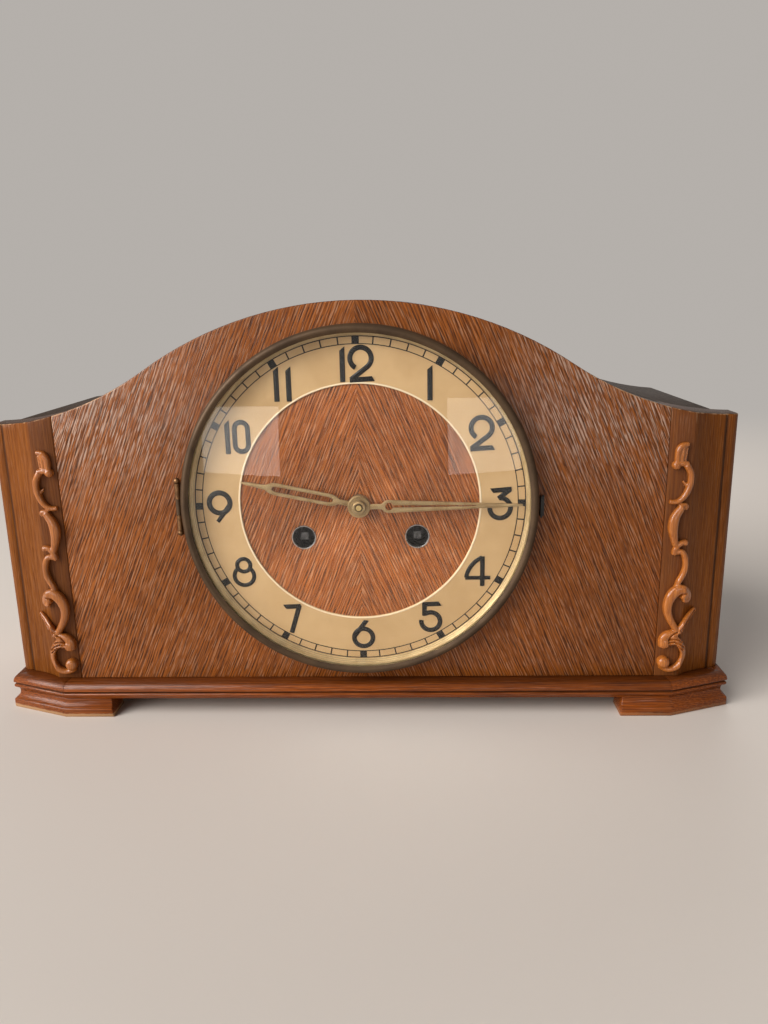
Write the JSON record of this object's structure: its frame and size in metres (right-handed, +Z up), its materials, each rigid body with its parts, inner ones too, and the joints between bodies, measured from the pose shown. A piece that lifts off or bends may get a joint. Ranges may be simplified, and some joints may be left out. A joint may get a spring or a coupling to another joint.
{
  "type": "tambour mantel clock",
  "caption": "Arched wooden mantel clock with a hinged glass bezel, gilt chapter ring, open hands, winding movement with pendulum and rod gong, back door and bracket feet.",
  "frame": {"origin": "on the table under the middle of the clock's bounding box", "axes": "+Z up, -Y the way the dial faces, +X to the right of a person who reads the dial"},
  "size_m": [0.413, 0.1744, 0.228],
  "materials": {
    "front_veneer": "glossy varnish",
    "post_wood": "glossy varnish",
    "side_veneer": "glossy varnish",
    "dark_top": "dark stain, varnished",
    "plinth_wood": "dark stain, glossy",
    "carving_wood": "satin varnish",
    "plain_wood": "bare plywood",
    "dial_gold": "satin gilt",
    "bezel_bronze": "dark patina",
    "sight_gilt": "polished",
    "hand_gilt": "polished",
    "clear_glass": "clear",
    "black_metal": "black",
    "plate_brass": "brushed",
    "wheel_brass": "polished",
    "steel": "bright",
    "hinge_brass": "worn",
    "block_iron": "painted"
  },
  "bodies": {
    "case": {"back_hinge_fixed_leaves": "hinge_brass", "back_panel": "plain_wood", "back_plate": "plate_brass", "base_board": "plain_wood", "bezel_catch": "black_metal", "bezel_hinge": "bezel_bronze", "chapter_ring": "dial_gold", "front_left_foot": "plinth_wood", "front_panel": "front_veneer", "front_plate": "plate_brass", "front_right_foot": "plinth_wood", "gong_block": "block_iron", "gong_rods": "steel", "left_carving": "carving_wood", "left_post": "post_wood", "left_side_panel": "side_veneer", "movement_pillars": "steel", "plinth_front": "plinth_wood", "plinth_left_corner": "plinth_wood", "plinth_right_corner": "plinth_wood", "plinth_sides": "plinth_wood", "rear_feet": "plinth_wood", "right_carving": "carving_wood", "right_post": "post_wood", "right_side_panel": "side_veneer", "top_board": "dark_top", "winding_bushes": "black_metal"},
    "bezel_door": {"bezel_ring": "bezel_bronze", "bezel_glass": "clear_glass", "sight_ring": "sight_gilt"},
    "back_door_body": {"back_door": "plain_wood", "back_door_knob": "hinge_brass", "back_hinge_door_leaves": "hinge_brass"},
    "minute_hand_body": {"minute_hand": "hand_gilt", "hand_nut": "hand_gilt", "cannon_pinion": "wheel_brass"},
    "minute_wheel_body": {"minute_wheel": "wheel_brass"},
    "hour_hand_body": {"hour_hand": "hand_gilt", "hour_wheel": "wheel_brass"},
    "third_wheel_body": {"third_wheel": "wheel_brass"},
    "centre_wheel_body": {"centre_wheel": "wheel_brass"},
    "escape_wheel_body": {"escape_wheel": "wheel_brass"},
    "time_second_body": {"time_second_wheel": "wheel_brass"},
    "time_barrel_body": {"time_barrel": "plate_brass"},
    "time_winding_body": {"time_winding_arbor": "steel", "time_mainspring": "steel"},
    "strike_winding_body": {"strike_winding_arbor": "steel", "strike_mainspring": "steel"},
    "time_click_body": {"time_click": "steel"},
    "strike_click_body": {"strike_click": "steel"},
    "pin_wheel_body": {"pin_wheel": "wheel_brass"},
    "strike_second_body": {"strike_second_wheel": "wheel_brass"},
    "strike_barrel_body": {"strike_barrel": "plate_brass"},
    "fly_body": {"fly": "wheel_brass"},
    "pendulum_body": {"pendulum_rod": "steel", "pendulum_bob": "plate_brass", "rating_nut": "plate_brass"},
    "anchor_body": {"pallet_anchor": "steel"},
    "front_hammer_body": {"front_hammer": "steel"},
    "rear_hammer_body": {"rear_hammer": "steel"}
  },
  "joints": [
    {"name": "bezel_swing", "type": "hinge", "parent": "case", "child": "bezel_door", "pos_m": [-0.0976, -0.07245, 0.1215], "axis": [0, 0, -1], "range_deg": [0, 110]},
    {"name": "back_door_swing", "type": "hinge", "parent": "case", "child": "back_door_body", "pos_m": [-0.0953, 0.07865, 0.101], "axis": [0, 0, 1], "range_deg": [0, 110]},
    {"name": "minute_hand_turn", "type": "hinge", "parent": "case", "child": "minute_hand_body", "pos_m": [0, -0.06985, 0.1215], "axis": [0, 1, 0], "continuous": true},
    {"name": "minute_wheel_turn", "type": "hinge", "parent": "case", "child": "minute_wheel_body", "pos_m": [0, -0.04985, 0.1365], "axis": [0, 1, 0], "continuous": true},
    {"name": "hour_hand_turn", "type": "hinge", "parent": "case", "child": "hour_hand_body", "pos_m": [0, -0.06985, 0.1215], "axis": [0, 1, 0], "continuous": true},
    {"name": "third_wheel_turn", "type": "hinge", "parent": "case", "child": "third_wheel_body", "pos_m": [-0.00253, -0.02985, 0.14214], "axis": [0, 1, 0], "continuous": true},
    {"name": "centre_wheel_turn", "type": "hinge", "parent": "case", "child": "centre_wheel_body", "pos_m": [0, -0.02985, 0.1215], "axis": [0, 1, 0], "continuous": true},
    {"name": "escape_wheel_turn", "type": "hinge", "parent": "case", "child": "escape_wheel_body", "pos_m": [0, -0.02985, 0.16069], "axis": [0, 1, 0], "continuous": true},
    {"name": "time_second_turn", "type": "hinge", "parent": "case", "child": "time_second_body", "pos_m": [0.01744, -0.02985, 0.1332], "axis": [0, 1, 0], "continuous": true},
    {"name": "time_barrel_turn", "type": "hinge", "parent": "case", "child": "time_barrel_body", "pos_m": [0.0308, -0.02985, 0.10325], "axis": [0, 1, 0], "continuous": true},
    {"name": "time_winding_turn", "type": "hinge", "parent": "case", "child": "time_winding_body", "pos_m": [0.0308, -0.02985, 0.10325], "axis": [0, 1, 0], "range_deg": [0, 1800]},
    {"name": "strike_winding_turn", "type": "hinge", "parent": "case", "child": "strike_winding_body", "pos_m": [-0.0308, -0.02985, 0.10325], "axis": [0, -1, 0], "range_deg": [0, 1800]},
    {"name": "time_click_lift", "type": "hinge", "parent": "case", "child": "time_click_body", "pos_m": [0.04292, -0.04885, 0.11025], "axis": [0, 1, 0], "range_deg": [0, 15]},
    {"name": "strike_click_lift", "type": "hinge", "parent": "case", "child": "strike_click_body", "pos_m": [-0.04292, -0.04885, 0.11025], "axis": [0, -1, 0], "range_deg": [0, 15]},
    {"name": "pin_wheel_turn", "type": "hinge", "parent": "case", "child": "pin_wheel_body", "pos_m": [-0.03426, -0.02985, 0.15052], "axis": [0, 1, 0], "continuous": true},
    {"name": "strike_second_turn", "type": "hinge", "parent": "case", "child": "strike_second_body", "pos_m": [-0.04001, -0.02985, 0.13473], "axis": [0, 1, 0], "continuous": true},
    {"name": "strike_barrel_turn", "type": "hinge", "parent": "case", "child": "strike_barrel_body", "pos_m": [-0.0308, -0.02985, 0.10325], "axis": [0, 1, 0], "continuous": true},
    {"name": "fly_turn", "type": "hinge", "parent": "case", "child": "fly_body", "pos_m": [-0.02706, -0.02985, 0.16299], "axis": [0, 1, 0], "continuous": true},
    {"name": "pendulum_swing", "type": "hinge", "parent": "case", "child": "pendulum_body", "pos_m": [0, 0.00815, 0.17369], "axis": [0, 1, 0], "range_deg": [-3.5, 3.5]},
    {"name": "anchor_rock", "type": "hinge", "parent": "case", "child": "anchor_body", "pos_m": [0, -0.02985, 0.17369], "axis": [0, 1, 0], "range_deg": [-3.5, 3.5]},
    {"name": "front_hammer_lift", "type": "hinge", "parent": "case", "child": "front_hammer_body", "pos_m": [-0.05, 0.02215, 0.084], "axis": [0, 1, 0], "range_deg": [0, 25]},
    {"name": "rear_hammer_lift", "type": "hinge", "parent": "case", "child": "rear_hammer_body", "pos_m": [-0.05, 0.03415, 0.084], "axis": [0, 1, 0], "range_deg": [0, 25]}
  ],
  "couplings": [
    {"joint": "minute_wheel_turn", "follows": "minute_hand_turn", "ratio": -0.33333},
    {"joint": "hour_hand_turn", "follows": "minute_hand_turn", "ratio": 0.083333},
    {"joint": "centre_wheel_turn", "follows": "third_wheel_turn", "ratio": -0.083333},
    {"joint": "escape_wheel_turn", "follows": "third_wheel_turn", "ratio": -12},
    {"joint": "time_second_turn", "follows": "third_wheel_turn", "ratio": 0.013889},
    {"joint": "time_barrel_turn", "follows": "third_wheel_turn", "ratio": -0.001929},
    {"joint": "strike_second_turn", "follows": "pin_wheel_turn", "ratio": -0.16667},
    {"joint": "strike_barrel_turn", "follows": "pin_wheel_turn", "ratio": 0.023148},
    {"joint": "fly_turn", "follows": "pin_wheel_turn", "ratio": -7},
    {"joint": "anchor_rock", "follows": "pendulum_swing", "ratio": 1}
  ]
}
